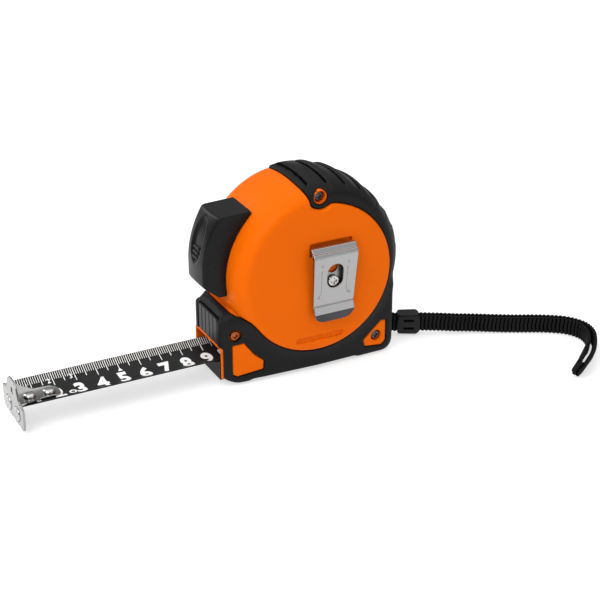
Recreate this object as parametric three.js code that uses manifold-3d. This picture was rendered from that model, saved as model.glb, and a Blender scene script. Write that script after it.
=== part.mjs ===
// A pocket tape measure with a 25 mm blade: a clamshell case with rubber jackets, a spring reel,
// a sliding thumb lock, a belt clip, a magnetic end hook and a webbing wrist strap.
//
// Frame, in millimetres: the origin is on the base plane, below the reel axis and midway between
// the side faces. The blade leaves the case towards -X, the clip side faces -Y and +Z is up.

import * as THREE from 'three';
import { mergeVertices } from 'three/addons/utils/BufferGeometryUtils.js';
import Module from 'manifold-3d';

const wasm = await Module();
wasm.setup();

// ---------------------------------------------------------------- driving dimensions

const GAP = 0.3;                  // clearance kept between touching pieces
const AXIS_Z = 48.4;              // height of the reel axis above the base
const CROWN_R = 43.1;             // largest radius of the case round the reel axis
const FACE_Y = 21.4;              // half thickness of the case at its side faces
const NOSE_X = -46.2;             // front plane of the nose
const REAR_X = 39.8;              // rear wall, which the drum overhangs
const NOSE_TOP = 41;              // top of the rubber on the nose
const JACKET = 1.5;               // thickness of the rubber jackets
const RIM = { z: 45.8, r: 35.2 }; // circle where rubber meets the bare side face
const MOUTH = { y: 13.2, z0: 2.4, z1: 17.6 };

const BLADE = { width: 23.8, sag: 4, t: 0.3, edgeZ: 12.5, split: -61.4, start: -135.4 };
const COIL = { r0: 18.9, r1: 29.6, y: 12.4 };
const HOOK_X = -136.9;            // outer face of the hook plate
const HOOK_T = 1;
const RIVETS = [-129.4, -120.7];
const MAGNETS = [-5.75, 5.75];
const SCREWS = { front: [-39.7, 24.7], top: [0.2, 84.1], rear: [30.7, 9.3] };
const CLIP = { x: 4.8, top: 22, foot: 20, t: 0.9, holeZ: 48.4 };
const CLIP_SCREW = [4.8, 45.2];
const PIN = { x: 37.2, y: 1.55, r: 1.2, z0: 1.5, z1: 11.3 };

// The strap's centre line: straight through the slider, then curling round to its folded end.
const STRAP = { width: 8, t: 1.3, rise: 1.9, slider: [54.5, -6.9], heading: [0.898, -0.439] };
const STRAP_BENDS = [
  [84, -20.6], [101.5, -29.2], [114.5, -36.2], [121.6, -42], [124.9, -49], [123.8, -56.5],
  [118, -64.8], [110, -72], [101, -79],
];
const STRAP_STEPS = 78;

// ---------------------------------------------------------------- solids

function solid(geometry) {
  const bare = new THREE.BufferGeometry();
  bare.setAttribute('position', geometry.getAttribute('position').clone());
  if (geometry.index) bare.setIndex(geometry.index.clone());
  const merged = mergeVertices(bare, 1e-4);
  const index = merged.index.array;
  const kept = [];
  for (let i = 0; i < index.length; i += 3) {
    const [a, b, c] = [index[i], index[i + 1], index[i + 2]];
    if (a !== b && b !== c && c !== a) kept.push(a, b, c);
  }
  const vertProperties = new Float32Array(merged.attributes.position.array);
  const build = (tris) => new wasm.Manifold(
    new wasm.Mesh({ numProp: 3, vertProperties, triVerts: new Uint32Array(tris) }),
  );
  const made = build(kept);
  return made.volume() > 0 ? made : build(kept.reverse());
}

function toGeometry(manifold) {
  const { vertProperties, triVerts, numProp } = manifold.getMesh();
  const count = vertProperties.length / numProp;
  const positions = new Float32Array(count * 3);
  for (let i = 0; i < count; i += 1) {
    for (let k = 0; k < 3; k += 1) positions[3 * i + k] = vertProperties[numProp * i + k];
  }
  const geometry = new THREE.BufferGeometry();
  geometry.setAttribute('position', new THREE.BufferAttribute(positions, 3));
  geometry.setIndex(new THREE.BufferAttribute(new Uint32Array(triVerts), 1));
  geometry.computeVertexNormals();
  return geometry;
}

const join = (...parts) => parts.reduce((a, b) => a.add(b));
const cut = (body, ...tools) => tools.reduce((a, b) => a.subtract(b), body);

function outline(points) {
  return new THREE.Shape(points.map(([x, y]) => new THREE.Vector2(x, y)));
}

function circle(x, y, r) {
  return new THREE.Shape().absarc(x, y, r, 0, Math.PI * 2);
}

function extruded(shape, depth, curveSegments) {
  return new THREE.ExtrudeGeometry(shape, { depth, curveSegments, bevelEnabled: false });
}

// A side-view outline (x, z) carried across the case from y0 to y1.
function alongY(shape, y0, y1, segments = 12) {
  const geometry = extruded(shape, y1 - y0, segments);
  geometry.rotateX(Math.PI / 2);
  geometry.translate(0, y1, 0);
  return solid(geometry);
}

// A front-view outline (y, z) carried from x0 to x1.
function alongX(shape, x0, x1, segments = 12) {
  const geometry = extruded(shape, x1 - x0, segments);
  const axes = [new THREE.Vector3(0, 1, 0), new THREE.Vector3(0, 0, 1), new THREE.Vector3(1, 0, 0)];
  geometry.applyMatrix4(new THREE.Matrix4().makeBasis(...axes));
  geometry.translate(x0, 0, 0);
  return solid(geometry);
}

// A plan outline (x, y) carried from z0 to z1.
function alongZ(shape, z0, z1, segments = 12) {
  const geometry = extruded(shape, z1 - z0, segments);
  geometry.translate(0, 0, z0);
  return solid(geometry);
}

function block([x0, x1], [y0, y1], [z0, z1]) {
  const geometry = new THREE.BoxGeometry(x1 - x0, y1 - y0, z1 - z0);
  geometry.translate((x0 + x1) / 2, (y0 + y1) / 2, (z0 + z1) / 2);
  return solid(geometry);
}

// A turned solid round the reel axis, or round a parallel axis through (x, z).
function turned(profile, segments = 32, x = 0, z = AXIS_Z) {
  const points = profile.map(([r, y]) => new THREE.Vector2(r, y));
  const geometry = new THREE.LatheGeometry(points, segments);
  geometry.translate(x, 0, z);
  return solid(geometry);
}

function rod(x, z, r, y0, y1, segments = 20) {
  return turned([[0, y0], [r, y0], [r, y1], [0, y1]], segments, x, z);
}

// Part of a ring round the reel axis; angles are in degrees above the -X direction.
function sector(r0, r1, from, to, halfWidth, steps = 10) {
  const edge = (r, i) => {
    const angle = THREE.MathUtils.degToRad(from + ((to - from) * i) / steps);
    return [-r * Math.cos(angle), AXIS_Z + r * Math.sin(angle)];
  };
  const points = [];
  for (let i = 0; i <= steps; i += 1) points.push(edge(r0, i));
  for (let i = steps; i >= 0; i -= 1) points.push(edge(r1, i));
  return alongY(outline(points), -halfWidth, halfWidth);
}

// A strip of even thickness laid along a polyline, as an outline.
function strip(points, thickness) {
  const line = points.map(([x, y]) => new THREE.Vector2(x, y));
  const side = (sign) => line.map((p, i) => {
    const before = line[Math.max(i - 1, 0)];
    const after = line[Math.min(i + 1, line.length - 1)];
    const a = p.clone().sub(before).normalize();
    const b = after.clone().sub(p).normalize();
    const along = a.add(b).normalize();
    const bend = i > 0 && i < line.length - 1
      ? Math.cos(p.clone().sub(before).angleTo(after.clone().sub(p)) / 2) : 1;
    const reach = (sign * thickness) / 2 / bend;
    return [p.x - along.y * reach, p.y + along.x * reach];
  });
  return outline([...side(1), ...side(-1).reverse()]);
}

const troughRadius = () => (BLADE.width ** 2 / 4 + BLADE.sag ** 2) / (2 * BLADE.sag);

// The blade's hollow section: an arc whose lowest point is in the middle.
function trough(halfWidth, lift, thickness, steps = 10) {
  const radius = troughRadius();
  const floor = BLADE.edgeZ - BLADE.sag + lift;
  const reach = Math.asin(halfWidth / radius);
  const arc = (r, i) => {
    const angle = -reach + (2 * reach * i) / steps;
    return [r * Math.sin(angle), floor + radius - r * Math.cos(angle)];
  };
  const points = [];
  for (let i = 0; i <= steps; i += 1) points.push(arc(radius, i));
  for (let i = steps; i >= 0; i -= 1) points.push(arc(radius - thickness, i));
  return outline(points);
}

// ---------------------------------------------------------------- materials

function finish(color, roughness, metalness) {
  return () => new THREE.MeshStandardMaterial({ color, roughness, metalness });
}

const ORANGE = finish(0xf5750f, 0.45, 0);
const RUBBER = finish(0x26282a, 0.8, 0);
const BLACK_PLASTIC = finish(0x303236, 0.4, 0);
const BLADE_STEEL = finish(0x1c1d1f, 0.5, 0.3);
const NICKEL = finish(0xd5d6d8, 0.2, 1);
const SPRING_STEEL = finish(0x9aa0a6, 0.35, 1);
const DARK_STEEL = finish(0x3a3a3c, 0.4, 1);
const COPPER_STEEL = finish(0xb5683a, 0.35, 1);
const MAGNET = finish(0x8f9296, 0.25, 1);
const REEL_PLASTIC = finish(0xdcdcd8, 0.5, 0);
const WEBBING = finish(0x141414, 0.95, 0);

const group = new THREE.Group();

function place(name, shape, material, parent = group) {
  const geometry = shape.isBufferGeometry ? shape : toGeometry(shape);
  const mesh = new THREE.Mesh(geometry, material());
  mesh.name = name;
  parent.add(mesh);
  return mesh;
}

// ---------------------------------------------------------------- the case

const BIG = 200;

// The whole outer form, drawn in by an inset: a crowned drum on a square nose and base.
function envelope(inset) {
  const half = [
    [36.4, FACE_Y], [39, 20], [41.2, 16], [42.4, 10], [CROWN_R, 4],
  ].map(([r, y]) => [r - inset, y - inset * (y / FACE_Y)]);
  const mirrored = half.map(([r, y]) => [r, -y]).reverse();
  const ends = FACE_Y - inset;
  const drum = turned([[0, ends], ...half, ...mirrored, [0, -ends]], 56);

  const [front, rear, low] = [NOSE_X + inset, REAR_X - inset, inset];
  const side = new THREE.Shape();
  side.moveTo(front, low + 3);
  side.quadraticCurveTo(front, low, front + 3, low);
  side.lineTo(rear - 5, low);
  side.quadraticCurveTo(rear, low, rear, low + 5);
  side.lineTo(rear, AXIS_Z);
  side.lineTo(-CROWN_R + 4, AXIS_Z);
  side.lineTo(front + 1.2, NOSE_TOP + 1 - inset);
  side.lineTo(front, NOSE_TOP - inset);
  const plan = [
    [front, 13.4 - inset], [front + 1.8, 15.7 - inset], [-28, 16.3 - inset],
    [34.5, 18 - inset], [rear - 1.2, 16.4 - inset], [rear, 12],
  ];
  const planOutline = [...plan, ...plan.map(([x, y]) => [x, -y]).reverse()];
  const foot = alongY(side, -20, 20, 4).intersect(alongZ(outline(planOutline), -1, 60));
  return join(drum, foot);
}

const WINDOWS = [
  [[-40.3, 19.6], [-36, 19.4], [-31, 13], [-27, 9.2], [-27, 5.4], [-38.3, 4.4], [-40.9, 6.6]],
  [[35.4, 16], [33.2, 16.2], [24.4, 7.9], [25, 5.2], [33.1, 4.4], [35.2, 6]],
];

// The side-view area that rubber covers; a positive grow makes it larger all round.
function rubberZone(grow) {
  const sheet = alongY(outline([[-60, -9], [60, -9], [60, 110], [-60, 110]]), -BIG / 4, BIG / 4);
  const bareFace = alongY(circle(0, RIM.z, RIM.r - grow), -BIG, BIG, 28);
  const bareFront = alongY(outline([
    [-62, NOSE_TOP + 2 + grow], [-45, NOSE_TOP + grow], [-37, 33 + grow], [-28, 28 + grow],
    [-7 - grow, 78], [-10.4 - grow, 96], [-62, 96],
  ]), -BIG, BIG);
  const panes = WINDOWS.map((points) => {
    const middle = points.reduce(([x, z], p) => [x + p[0] / points.length, z + p[1] / points.length],
      [0, 0]);
    const scale = (p, k) => middle[k] + (p[k] - middle[k]) * (1 - grow / 5);
    return alongY(outline(points.map((p) => [scale(p, 0), scale(p, 1)])), -BIG, BIG);
  });
  const lobe = alongY(circle(SCREWS.top[0], SCREWS.top[1], 5.6 + grow), -BIG, BIG, 8);
  return join(cut(sheet, bareFace, bareFront, ...panes), lobe);
}

const frontTrim = (grow) => block(
  [NOSE_X - 4, NOSE_X + 6],
  [-14.6 + grow, 14.6 - grow],
  [MOUTH.z0 - 0.6 + grow, MOUTH.z1 + 1 - grow],
);
const panelPocket = block([NOSE_X - 4, NOSE_X + 1.5], [-10.3, 10.3], [MOUTH.z1 + 1, 32.8]);
const underCut = [-1, 1].map((side) => block([-32, 20], side > 0 ? [9, 40] : [-40, -9], [-5, 1.2]));
const slotForStem = sector(30, 50, 8, 32, 4.3);
const mouthPath = join(
  block([NOSE_X - 4, -15], [-MOUTH.y, MOUTH.y], [MOUTH.z0, MOUTH.z1]),
  block([-16, 28.8], [-12.9, 12.9], [7, 15.6]),
);
const strapPocket = alongZ(outline([[34.4, 4.7], [44, 4.5], [44, -5.7], [34.4, -1.7]]), 1.2, 10.8);
const pinHole = alongZ(circle(PIN.x, PIN.y, PIN.r + GAP), PIN.z0 - GAP, PIN.z1 + GAP, 5);

function screwWell([x, z], face, seat) {
  return join(rod(x, z, 2.9, -BIG / 4, -seat, 16), rod(x, z, 1.7, -face - 1, 11, 12));
}

const screwSeats = { front: [SCREWS.front, 16, 13.6], top: [SCREWS.top, 20, 15.6],
  rear: [SCREWS.rear, 18, 14.6] };
const screwWells = Object.values(screwSeats).map(([at, face, seat]) => screwWell(at, face, seat));

function caseBody() {
  const shell = join(
    envelope(JACKET + GAP),
    cut(envelope(0), rubberZone(GAP)),
    envelope(0).intersect(frontTrim(GAP)),
  );
  const inside = turned([
    [0, 18.6], [32.5, 18.6], [35.6, 15], [37, 9], [37.4, 3],
    [37.4, -3], [37, -9], [35.6, -15], [32.5, -18.6], [0, -18.6],
  ], 40);
  const bosses = Object.values(SCREWS).map(([x, z]) => rod(x, z, 3.6, -15, 15, 12));
  const hub = rod(0, AXIS_Z, 8.5, -19, -14.9, 24);
  const hollow = cut(shell, cut(inside, hub, bosses[1]), mouthPath, sector(35.5, 40.3, -70, 40, 4.6));
  const clipPocket = block([-7, 16.6], [-30, -19.8], [57.4, 63.6]);
  const gripBar = block([-11.5, 11], [-22.6, -FACE_Y - 0.9], [16, 19]);
  const clipHole = rod(CLIP_SCREW[0], CLIP_SCREW[1], 1.6, -30, -15.4, 12);
  const boss = rod(CLIP_SCREW[0], CLIP_SCREW[1] + 6.4, 2.4, -22.5, -20, 12);
  return cut(join(cut(hollow, clipPocket, gripBar), boss), panelPocket, slotForStem, strapPocket,
    pinHole, clipHole, ...underCut, ...screwWells);
}

function jacketBody() {
  const skin = envelope(0).subtract(envelope(JACKET)).intersect(rubberZone(0));
  const throat = block([NOSE_X - 4, NOSE_X + 5], [-MOUTH.y - 1.4, MOUTH.y + 1.4], [-1, 3]);
  const cleared = cut(skin, frontTrim(0), panelPocket, slotForStem, strapPocket, pinHole,
    ...underCut, ...screwWells);
  return cleared.subtract(throat.intersect(block([-50, NOSE_X + 0.2], [-8, 8], [-1, 3])));
}

const FRONT_HALF = block([-BIG, BIG], [-BIG, -GAP / 2], [-BIG, BIG]);
const BACK_HALF = block([-BIG, BIG], [GAP / 2, BIG], [-BIG, BIG]);
// The two jackets lock together under the base with one tab.
const tab = (grow) => block([-8 - grow, 8 + grow], [-2, 4 + grow], [-2, JACKET + grow]);

const wholeCase = caseBody();
place('clip_side_case_half', wholeCase.intersect(FRONT_HALF), ORANGE);
place('back_side_case_half', wholeCase.intersect(BACK_HALF), ORANGE);

const wholeJacket = jacketBody();
place('clip_side_rubber_jacket',
  join(wholeJacket.intersect(FRONT_HALF), wholeJacket.intersect(tab(0))), RUBBER);
place('back_side_rubber_jacket', wholeJacket.intersect(BACK_HALF).subtract(tab(GAP)), RUBBER);

function nosePanel() {
  const flutes = [];
  const [count, halfWidth] = [6, 10];
  for (let i = 0; i <= count; i += 1) {
    const y = -halfWidth + (2 * halfWidth * i) / count;
    flutes.push([NOSE_X + 0.2, y - (i ? 0.35 : 0)]);
    if (i > 0 && i < count) flutes.push([NOSE_X + 0.7, y], [NOSE_X + 0.2, y + 0.35]);
  }
  const plan = [...flutes, [NOSE_X + 1.2, halfWidth - 0.35], [NOSE_X + 1.2, -halfWidth]];
  return alongZ(outline(plan), MOUTH.z1 + 1 + GAP, 32.5);
}
place('nose_panel', nosePanel(), BLACK_PLASTIC);

function mouthLip() {
  const radius = troughRadius();
  const blade = circle(0, BLADE.edgeZ - BLADE.sag + radius, radius + 0.6);
  const under = block([NOSE_X + GAP, -34], [-12.6, 12.6], [MOUTH.z0 + GAP, 12]);
  const rivetChannel = block([NOSE_X - 1, -30], [-2.9, 2.9], [6.8, 12]);
  return cut(under, alongX(blade, NOSE_X - 1, -30, 40), rivetChannel);
}
place('mouth_lip', mouthLip(), BLACK_PLASTIC);

// ---------------------------------------------------------------- screws

function panScrew([x, z], seat, length, headR = 2.5, shankR = 1.4) {
  const head = -seat - 1.6;
  const body = turned([
    [0, head], [headR * 0.7, head], [headR, head + 0.7], [headR, -seat - GAP],
    [shankR, -seat - GAP], [shankR, -seat + length], [0, -seat + length],
  ], 16, x, z);
  const bar = (dx, dz) => block([x - dx, x + dx], [head - 1, head + 0.8], [z - dz, z + dz]);
  return cut(body, bar(1.4, 0.35), bar(0.35, 1.4));
}

for (const [name, [at, , seat]] of Object.entries(screwSeats)) {
  place(`${name}_case_screw`, panScrew(at, seat, 24), name === 'front' ? COPPER_STEEL : DARK_STEEL);
}
place('clip_screw', panScrew(CLIP_SCREW, 22.6, 6.6, 2.4, 1.3), NICKEL);

// ---------------------------------------------------------------- thumb lock

const BUTTON = { r: 51, halfWidth: 9.6, top: 79.6 };
const stemPocket = sector(42, 45.4, 9.6, 22.4, 4.1);

function lockButton() {
  const rim = [];
  const steps = 9;
  for (let i = 0; i <= steps; i += 1) {
    const angle = THREE.MathUtils.degToRad(-1.5 + (37 * i) / steps);
    rim.push([-BUTTON.r * Math.cos(angle), AXIS_Z + BUTTON.r * Math.sin(angle)]);
  }
  const side = outline([[-43.2, 40.8], ...rim, [-43.4, BUTTON.top], [-27.6, BUTTON.top], [-20, 70],
    [-30, 50]]);
  const plan = outline([[-60, -8.4], [-50.2, -8.8], [-49, -BUTTON.halfWidth],
    [-10, -BUTTON.halfWidth], [-10, BUTTON.halfWidth], [-49, BUTTON.halfWidth], [-50.2, 8.8],
    [-60, 8.4]]);
  const body = alongY(side, -12, 12).intersect(alongZ(plan, 30, 90));
  const crown = envelope(-GAP - 0.05);
  const dish = new THREE.SphereGeometry(1, 16, 10);
  dish.scale(2.6, 5, 11.5);
  dish.translate(-51.8, 0, AXIS_Z + 18.4);
  return cut(body, crown, stemPocket, solid(dish));
}
place('lock_button', lockButton(), BLACK_PLASTIC);
place('lock_wedge', join(sector(36.2, 39.8, -60, 24, 4), sector(39, 45, 10, 22, 3.8)),
  REEL_PLASTIC);

// ---------------------------------------------------------------- the reel

place('reel_drum', turned([
  [17.4, -12.8], [18.5, -12.8], [18.5, 13], [31, 13], [31, 13.9], [4.2, 13.9], [4.2, 12.6],
  [17.4, 12.6], [17.4, -12.8],
], 36), REEL_PLASTIC);
place('reel_cover', turned([
  [4.2, -13.2], [31, -13.2], [31, -14.1], [4.2, -14.1], [4.2, -13.2],
], 36), REEL_PLASTIC);
place('tape_coil', turned([
  [COIL.r0, -COIL.y], [COIL.r1, -COIL.y], [COIL.r1, COIL.y], [COIL.r0, COIL.y], [COIL.r0, -COIL.y],
], 44), BLADE_STEEL);
place('spring_arbor', cut(rod(0, AXIS_Z, 3.8, -14.5, 18.3, 20),
  block([-0.5, 0.5], [-15, 10], [AXIS_Z, AXIS_Z + 5])), DARK_STEEL);

function powerSpring() {
  const [turns, perTurn, r0, r1] = [6, 18, 4.9, 16.6];
  const points = [];
  for (let i = 0; i <= turns * perTurn; i += 1) {
    const angle = (i / perTurn) * Math.PI * 2;
    const r = r0 + ((r1 - r0) * i) / (turns * perTurn);
    points.push([r * Math.cos(angle), AXIS_Z + r * Math.sin(angle)]);
  }
  return alongY(strip(points, 0.6), -11, 11);
}
place('power_spring', powerSpring(), SPRING_STEEL);

// ---------------------------------------------------------------- blade and hook

const rivetHoles = RIVETS.map((x) => alongZ(circle(x, 0, 1.6), 4, 16, 4));
place('blade', cut(alongX(trough(BLADE.width / 2, 0, BLADE.t), BLADE.start, BLADE.split - GAP),
  ...rivetHoles), BLADE_STEEL);

// The stretch that runs in through the mouth and climbs to the coil.
function bladeRoot() {
  const [x0, x1, climbFrom, climb] = [BLADE.split, -9, -26, 6];
  const geometry = new THREE.ExtrudeGeometry(trough(BLADE.width / 2, 0, BLADE.t),
    { depth: x1 - x0, steps: 12, bevelEnabled: false });
  const axes = [new THREE.Vector3(0, 1, 0), new THREE.Vector3(0, 0, 1), new THREE.Vector3(1, 0, 0)];
  geometry.applyMatrix4(new THREE.Matrix4().makeBasis(...axes));
  geometry.translate(x0, 0, 0);
  const position = geometry.getAttribute('position');
  for (let i = 0; i < position.count; i += 1) {
    const share = Math.max(0, (position.getX(i) - climbFrom) / (x1 - climbFrom));
    position.setZ(i, position.getZ(i) + climb * share * share);
  }
  return solid(geometry);
}
place('blade_root', bladeRoot(), BLADE_STEEL);

function endHook() {
  const half = [
    [0, 20], [3.6, 19.7], [5.8, 18.2], [6.8, 15.4], [8, 13], [10.6, 12], [13.8, 11.4], [14.2, 8],
    [13.9, 3.2], [12.6, 1.1], [10.6, 0.6], [8.4, 1.5], [6.2, 0.6], [3, 0.6], [0, 1.6],
  ];
  const edge = [...half, ...half.slice(1, -1).map(([y, z]) => [-y, z]).reverse()];
  const plate = alongX(outline(edge), HOOK_X, HOOK_X + HOOK_T);
  const tongueArc = alongX(trough(11, BLADE.t + GAP, HOOK_T), HOOK_X + 0.5, -115.6);
  const tongueHalf = [[-137.5, 10.8], [-133.5, 10.2], [-126.5, 5], [-119, 4.6], [-116.6, 3],
    [-115.9, 0]];
  const tonguePlan = [...tongueHalf, ...tongueHalf.slice(0, -1).map(([x, y]) => [x, -y]).reverse()];
  const tongue = tongueArc.intersect(alongZ(outline(tonguePlan), 0, 30));
  const slots = RIVETS.map((x) => block([x - 2.4, x + 2.4], [-1.7, 1.7], [4, 16]));
  const nailHole = alongX(circle(0, 14.6, 1.5), HOOK_X - 5, HOOK_X + 5, 6);
  const seats = MAGNETS.map((y) => alongX(circle(y, 6.2, 3.5), HOOK_X - 5, HOOK_X + 5, 8));
  return cut(join(plate, tongue), nailHole, ...slots, ...seats);
}
place('end_hook', endHook(), NICKEL);

MAGNETS.forEach((y, i) => {
  const disc = alongX(circle(y, 6.2, 3.2), HOOK_X - 0.5, HOOK_X + HOOK_T - 0.1, 8);
  place(`hook_magnet_${i + 1}`, disc, MAGNET);
});

// Each rivet is fixed in the blade and slides in a slot of the hook, which gives the hook its play.
function rivet(x) {
  const floor = BLADE.edgeZ - BLADE.sag;
  const top = floor + BLADE.t + GAP + HOOK_T + GAP;
  const profile = [
    [0, floor - 1.1], [2, floor - 0.9], [2.2, floor - 0.35], [1.3, floor - 0.35], [1.3, top + 0.3],
    [2.5, top + 0.3], [2.2, top + 0.9], [1.3, top + 1.3], [0, top + 1.4],
  ];
  const geometry = new THREE.LatheGeometry(profile.map(([r, z]) => new THREE.Vector2(r, z)), 14);
  geometry.rotateX(Math.PI / 2);
  geometry.translate(x, 0, 0);
  return solid(geometry);
}
RIVETS.forEach((x, i) => place(`hook_rivet_${i + 1}`, rivet(x), NICKEL));

// ---------------------------------------------------------------- belt clip

function clipBase() {
  const bent = strip([[-22.15, 41.6], [-22.15, 57.2]], 0.8);
  const plate = alongX(bent, CLIP.x - 9, CLIP.x + 9);
  return cut(plate, rod(CLIP_SCREW[0], CLIP_SCREW[1], 1.7, -30, -15, 10),
    rod(CLIP_SCREW[0], CLIP_SCREW[1] + 6.4, 2.8, -30, -15, 14));
}
place('clip_base', clipBase(), SPRING_STEEL);

function clipArm() {
  const bent = strip([[-22.15, 57.6], [-21.2, 59.4], [-21.3, 61], [-22.6, 62], [-24.8, 61.4],
    [-26.2, 59], [-23.6, 34.4], [-25, 30.4], [-24.2, 26.4]], CLIP.t);
  const width = (z) => (z > 32 ? CLIP.foot + ((CLIP.top - CLIP.foot) * (z - 32)) / 30 : CLIP.foot);
  const half = [[width(64), 64], [width(33), 33], [CLIP.foot - 0.6, 30], [CLIP.foot - 3.4, 27.2],
    [CLIP.foot - 7, 26]];
  const face = [
    ...half.map(([w, z]) => [CLIP.x - w / 2, z]),
    ...half.map(([w, z]) => [CLIP.x + w / 2, z]).reverse(),
  ];
  const hole = new THREE.Shape();
  hole.absarc(CLIP.x, CLIP.holeZ + 1.9, 4, 0, Math.PI);
  hole.absarc(CLIP.x, CLIP.holeZ - 1.9, 4, Math.PI, Math.PI * 2);
  return cut(alongX(bent, -10, 20).intersect(alongY(outline(face), -35, -15)),
    alongY(hole, -30, -23.4, 8));
}
place('clip_arm', clipArm(), SPRING_STEEL);

// ---------------------------------------------------------------- wrist strap

place('strap_pin', alongZ(circle(PIN.x, PIN.y, PIN.r), PIN.z0, PIN.z1, 5), DARK_STEEL);

// The strap is one webbing folded in two: out along one side of its centre line and back along
// the other. It stands on its edge, and lies over towards its folded end.
class StrapLine extends THREE.Curve {
  constructor() {
    super();
    const [sx, sy] = STRAP.slider;
    const [hx, hy] = STRAP.heading;
    const straight = [-19.6, -10, 0, 8, 16, 22].map((s) => [sx + s * hx, sy + s * hy]);
    this.centre = new THREE.CatmullRomCurve3(
      [...straight, ...STRAP_BENDS].map(([x, y]) => new THREE.Vector3(x, y, 0)),
    );
    this.inner = 2.4 / this.centre.getLength();
  }

  lean(t) {
    return THREE.MathUtils.degToRad(26) * THREE.MathUtils.smoothstep(t, 0.78, 0.97);
  }

  spread(t) {
    return 1.65 + 1.5 * Math.exp(-(((t - 0.8) / 0.07) ** 2));
  }

  frame(t) {
    const along = this.centre.getTangentAt(t);
    const level = new THREE.Vector3(-along.y, along.x, 0);
    const lean = this.lean(t);
    const up = new THREE.Vector3(0, 0, Math.cos(lean)).addScaledVector(level, Math.sin(lean));
    const across = level.multiplyScalar(Math.cos(lean)).setZ(-Math.sin(lean));
    return { along, up, across };
  }

  height(t) {
    const lean = this.lean(t);
    const edge = (STRAP.width / 2) * Math.cos(lean);
    const stack = (this.spread(t) + STRAP.t / 2) * Math.sin(lean);
    return edge + stack + 0.15 + STRAP.rise * (1 - THREE.MathUtils.smoothstep(t, 0.16, 0.5));
  }

  // The first 48 hundredths run out, the last 48 run back, and the rest turns the fold.
  getPoint(u, target = new THREE.Vector3()) {
    const fold = THREE.MathUtils.clamp((u - 0.48) / 0.04, 0, 1);
    const t = THREE.MathUtils.lerp(this.inner, 1, Math.min(u, 1 - u) / 0.48);
    const at = Math.min(t, 1);
    const { along, across } = this.frame(at);
    const point = this.centre.getPointAt(at).setZ(this.height(at));
    const spread = this.spread(at);
    point.addScaledVector(across, spread * Math.cos(Math.PI * fold));
    point.addScaledVector(along, spread * Math.sin(Math.PI * fold));
    return target.copy(point);
  }

  computeFrenetFrames(segments) {
    const [tangents, normals, binormals] = [[], [], []];
    for (let i = 0; i <= segments; i += 1) {
      const u = this.getUtoTmapping(i / segments);
      const along = this.getTangentAt(i / segments);
      const t = Math.min(THREE.MathUtils.lerp(this.inner, 1, Math.min(u, 1 - u) / 0.48), 1);
      const up = this.frame(t).up;
      up.addScaledVector(along, -up.dot(along)).normalize();
      tangents.push(along);
      binormals.push(up);
      normals.push(new THREE.Vector3().crossVectors(up, along));
    }
    return { tangents, normals, binormals };
  }
}

function wristStrap() {
  const [w, t] = [STRAP.width / 2, STRAP.t / 2];
  const section = outline([[-t, -w + 0.3], [-t + 0.3, -w], [t - 0.3, -w], [t, -w + 0.3],
    [t, w - 0.3], [t - 0.3, w], [-t + 0.3, w], [-t, w - 0.3]]);
  return solid(new THREE.ExtrudeGeometry(section,
    { steps: STRAP_STEPS, extrudePath: new StrapLine(), bevelEnabled: false }));
}
place('wrist_strap', wristStrap(), WEBBING);

function strapSlider() {
  const face = outline([[-6, -4], [-5, -5.2], [3.4, -5.6], [5.6, -4], [6, -2], [6, 2], [5.6, 4],
    [3.4, 5.6], [-5, 5.2], [-6, 4]]);
  const geometry = extruded(face, 7.4, 1);
  geometry.rotateX(Math.PI / 2);
  geometry.translate(0, 3.7, 0);
  const slots = [-1, 1].map((side) => block([-2.4, 2.4], [-10, -3.1], [side * 2 - 0.5, side * 2 + 0.5]));
  return cut(solid(geometry), block([-10, 10], [-2.75, 2.75], [-4.45, 4.45]), ...slots);
}
const slider = place('strap_slider', strapSlider(), BLACK_PLASTIC);
slider.position.set(STRAP.slider[0], STRAP.slider[1], STRAP.width / 2 + 0.15 + STRAP.rise);
slider.rotation.z = Math.atan2(STRAP.heading[1], STRAP.heading[0]);

export default group;
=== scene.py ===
"""A pocket tape measure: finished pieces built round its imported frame.

Most shapes are distance fields in millimetres, on the frame's own axes: a field is negative inside
the piece. surface() turns a field into a mesh whose points and normals lie on its zero surface.
"""

import itertools
import math

import bmesh
import bpy
import numpy as np
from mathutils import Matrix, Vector


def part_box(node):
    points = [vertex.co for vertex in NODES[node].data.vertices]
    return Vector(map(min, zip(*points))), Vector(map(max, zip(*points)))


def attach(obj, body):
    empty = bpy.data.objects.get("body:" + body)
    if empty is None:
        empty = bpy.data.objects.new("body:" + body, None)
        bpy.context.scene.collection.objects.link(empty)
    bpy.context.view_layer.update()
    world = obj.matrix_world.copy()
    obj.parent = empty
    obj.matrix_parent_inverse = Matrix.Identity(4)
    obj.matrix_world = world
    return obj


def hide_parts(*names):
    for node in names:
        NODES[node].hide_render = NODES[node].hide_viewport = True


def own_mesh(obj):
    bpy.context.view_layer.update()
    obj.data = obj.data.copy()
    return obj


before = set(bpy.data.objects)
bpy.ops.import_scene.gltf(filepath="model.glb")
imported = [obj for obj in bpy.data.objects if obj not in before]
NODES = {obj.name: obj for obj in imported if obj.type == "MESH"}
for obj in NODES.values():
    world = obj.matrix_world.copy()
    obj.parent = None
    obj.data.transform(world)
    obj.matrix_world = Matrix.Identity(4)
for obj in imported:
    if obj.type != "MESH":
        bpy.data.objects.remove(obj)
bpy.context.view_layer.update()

MM = 0.001


def box_mm(*nodes):
    """Lowest and highest corner of some CAD nodes together, in millimetres."""
    corners = [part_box(node) for node in nodes]
    low = np.min([np.array(a) for a, _ in corners], axis=0)
    high = np.max([np.array(b) for _, b in corners], axis=0)
    return low / MM, high / MM


# ---------------------------------------------------------------- driving dimensions

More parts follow.
